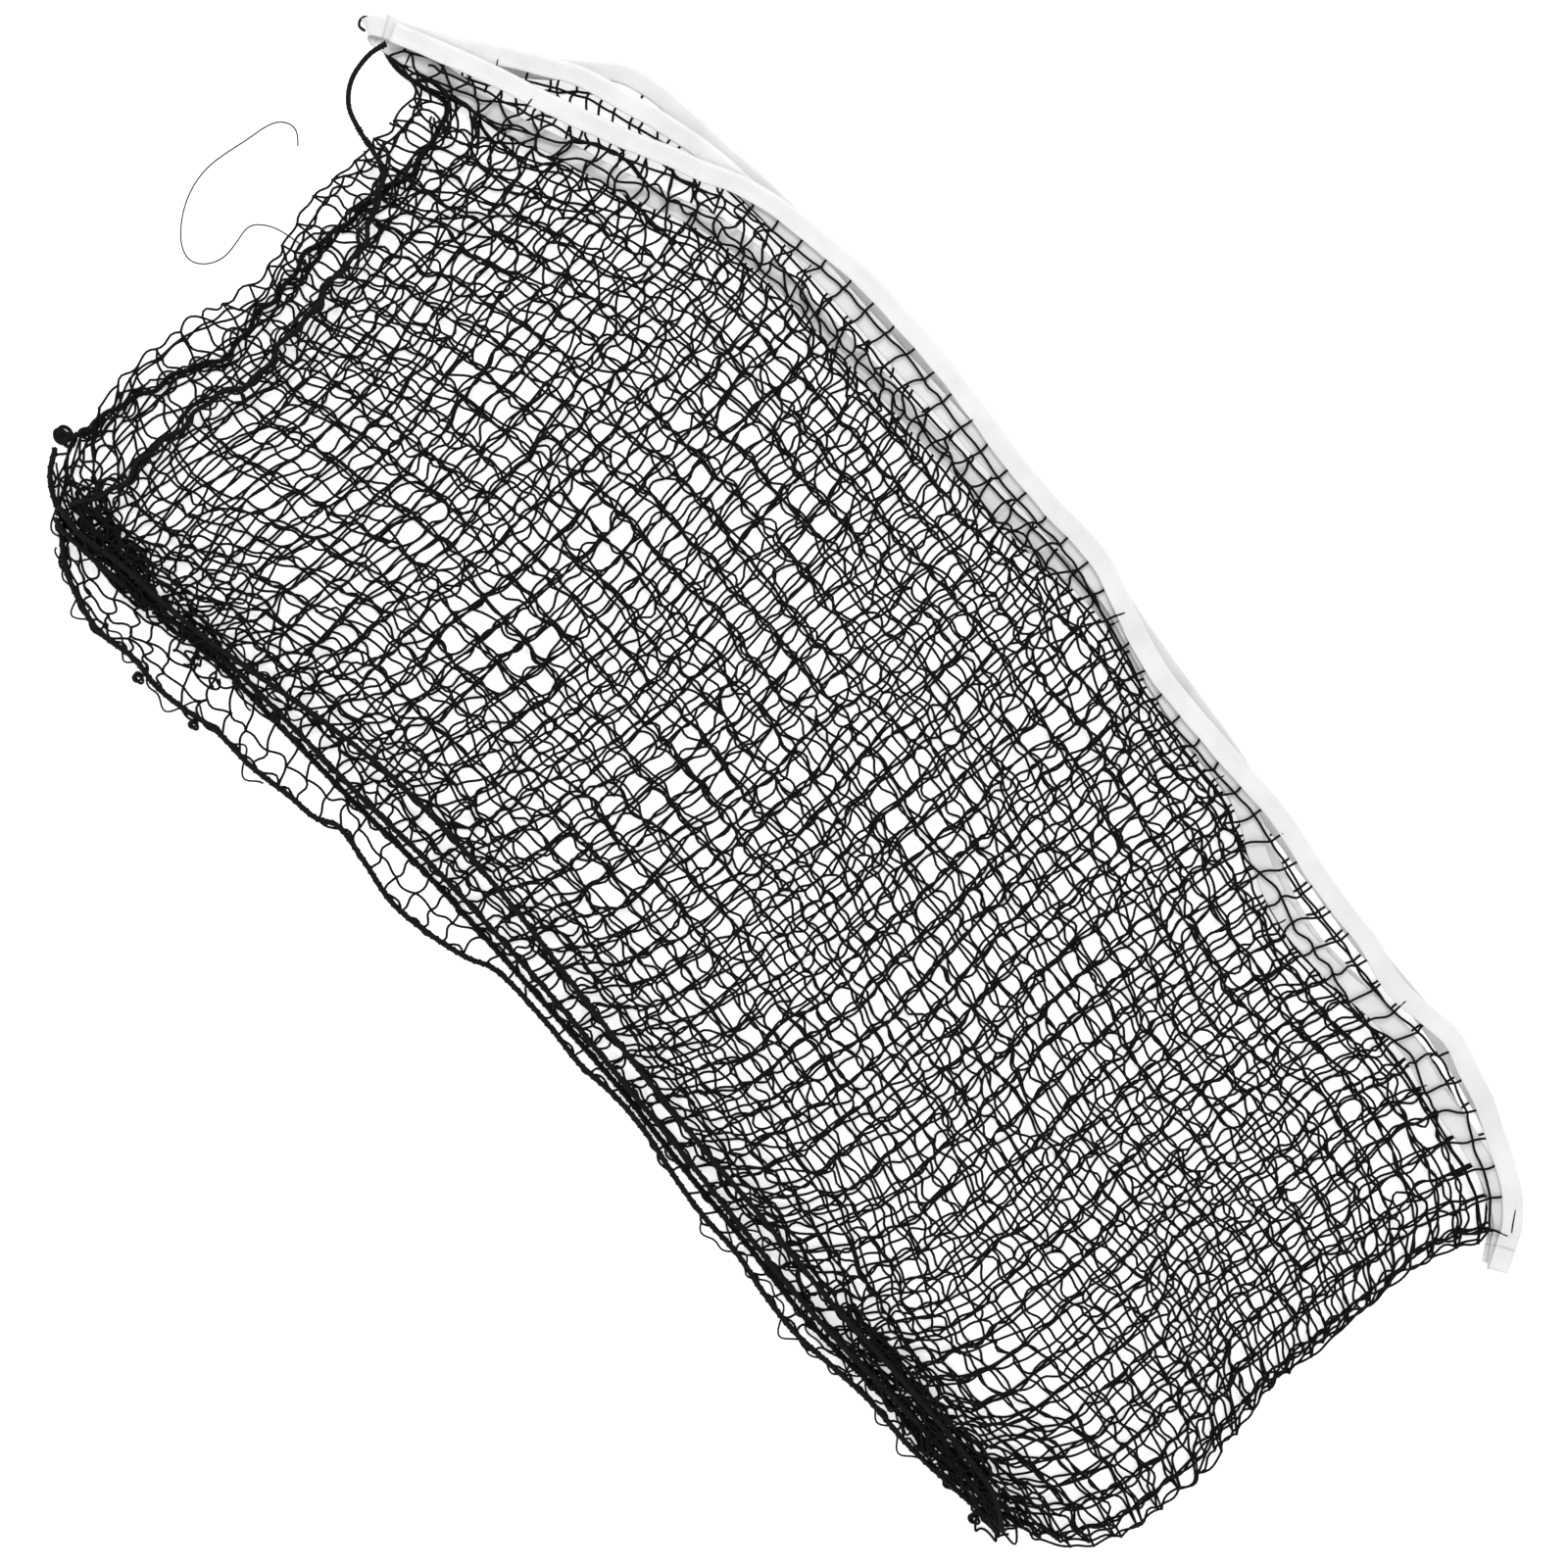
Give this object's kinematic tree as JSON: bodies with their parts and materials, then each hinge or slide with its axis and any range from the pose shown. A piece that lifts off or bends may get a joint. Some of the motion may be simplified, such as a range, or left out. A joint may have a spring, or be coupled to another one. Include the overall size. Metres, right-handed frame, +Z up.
{
  "type": "tennis net",
  "caption": "Tennis net folded flat into a bundle: black knotted square-mesh netting with a white folded vinyl headband, black head, bottom and side cords",
  "frame": {"origin": "centre of the folded bundle on the floor, at the middle of its box without the loose twine end", "axes": "+X along the folded bundle, +Y towards the white headband, +Z up from the floor"},
  "size_m": [2.3795, 1.1589, 0.0395],
  "materials": {
    "net_twine": "matte",
    "black_cord": "matte",
    "vinyl_band": "satin",
    "stitch_thread": "matte",
    "head_core": "matte"
  },
  "bodies": {
    "layer_1": {"netting_1": "net_twine", "headband_1": "vinyl_band", "headband_stitching_1": "stitch_thread", "head_cord_1": "head_core", "bottom_cord_1": "black_cord", "side_cord_start": "black_cord", "corner_knot": "black_cord", "loose_thread": "net_twine"},
    "layer_2": {"netting_2": "net_twine", "headband_2": "vinyl_band", "headband_stitching_2": "stitch_thread", "head_cord_2": "head_core", "bottom_cord_2": "black_cord"},
    "layer_3": {"netting_3": "net_twine", "headband_3": "vinyl_band", "headband_stitching_3": "stitch_thread", "head_cord_3": "head_core", "bottom_cord_3": "black_cord"},
    "layer_4": {"netting_4": "net_twine", "headband_4": "vinyl_band", "headband_stitching_4": "stitch_thread", "head_cord_4": "head_core", "bottom_cord_4": "black_cord", "side_cord_finish": "black_cord"}
  },
  "joints": [
    {"name": "fold_1", "type": "hinge", "parent": "layer_1", "child": "layer_2", "pos_m": [1.12491, -0.06885, 0.009], "axis": [0.0867, 0.9962, 0], "range_deg": [0, 179.9]},
    {"name": "fold_2", "type": "hinge", "parent": "layer_2", "child": "layer_3", "pos_m": [-1.13081, -0.06885, 0.0198], "axis": [0.072, -0.9974, 0], "range_deg": [0, 179.9]},
    {"name": "fold_3", "type": "hinge", "parent": "layer_3", "child": "layer_4", "pos_m": [1.12491, -0.06885, 0.029], "axis": [0.0867, 0.9962, 0], "range_deg": [0, 179.9]}
  ]
}
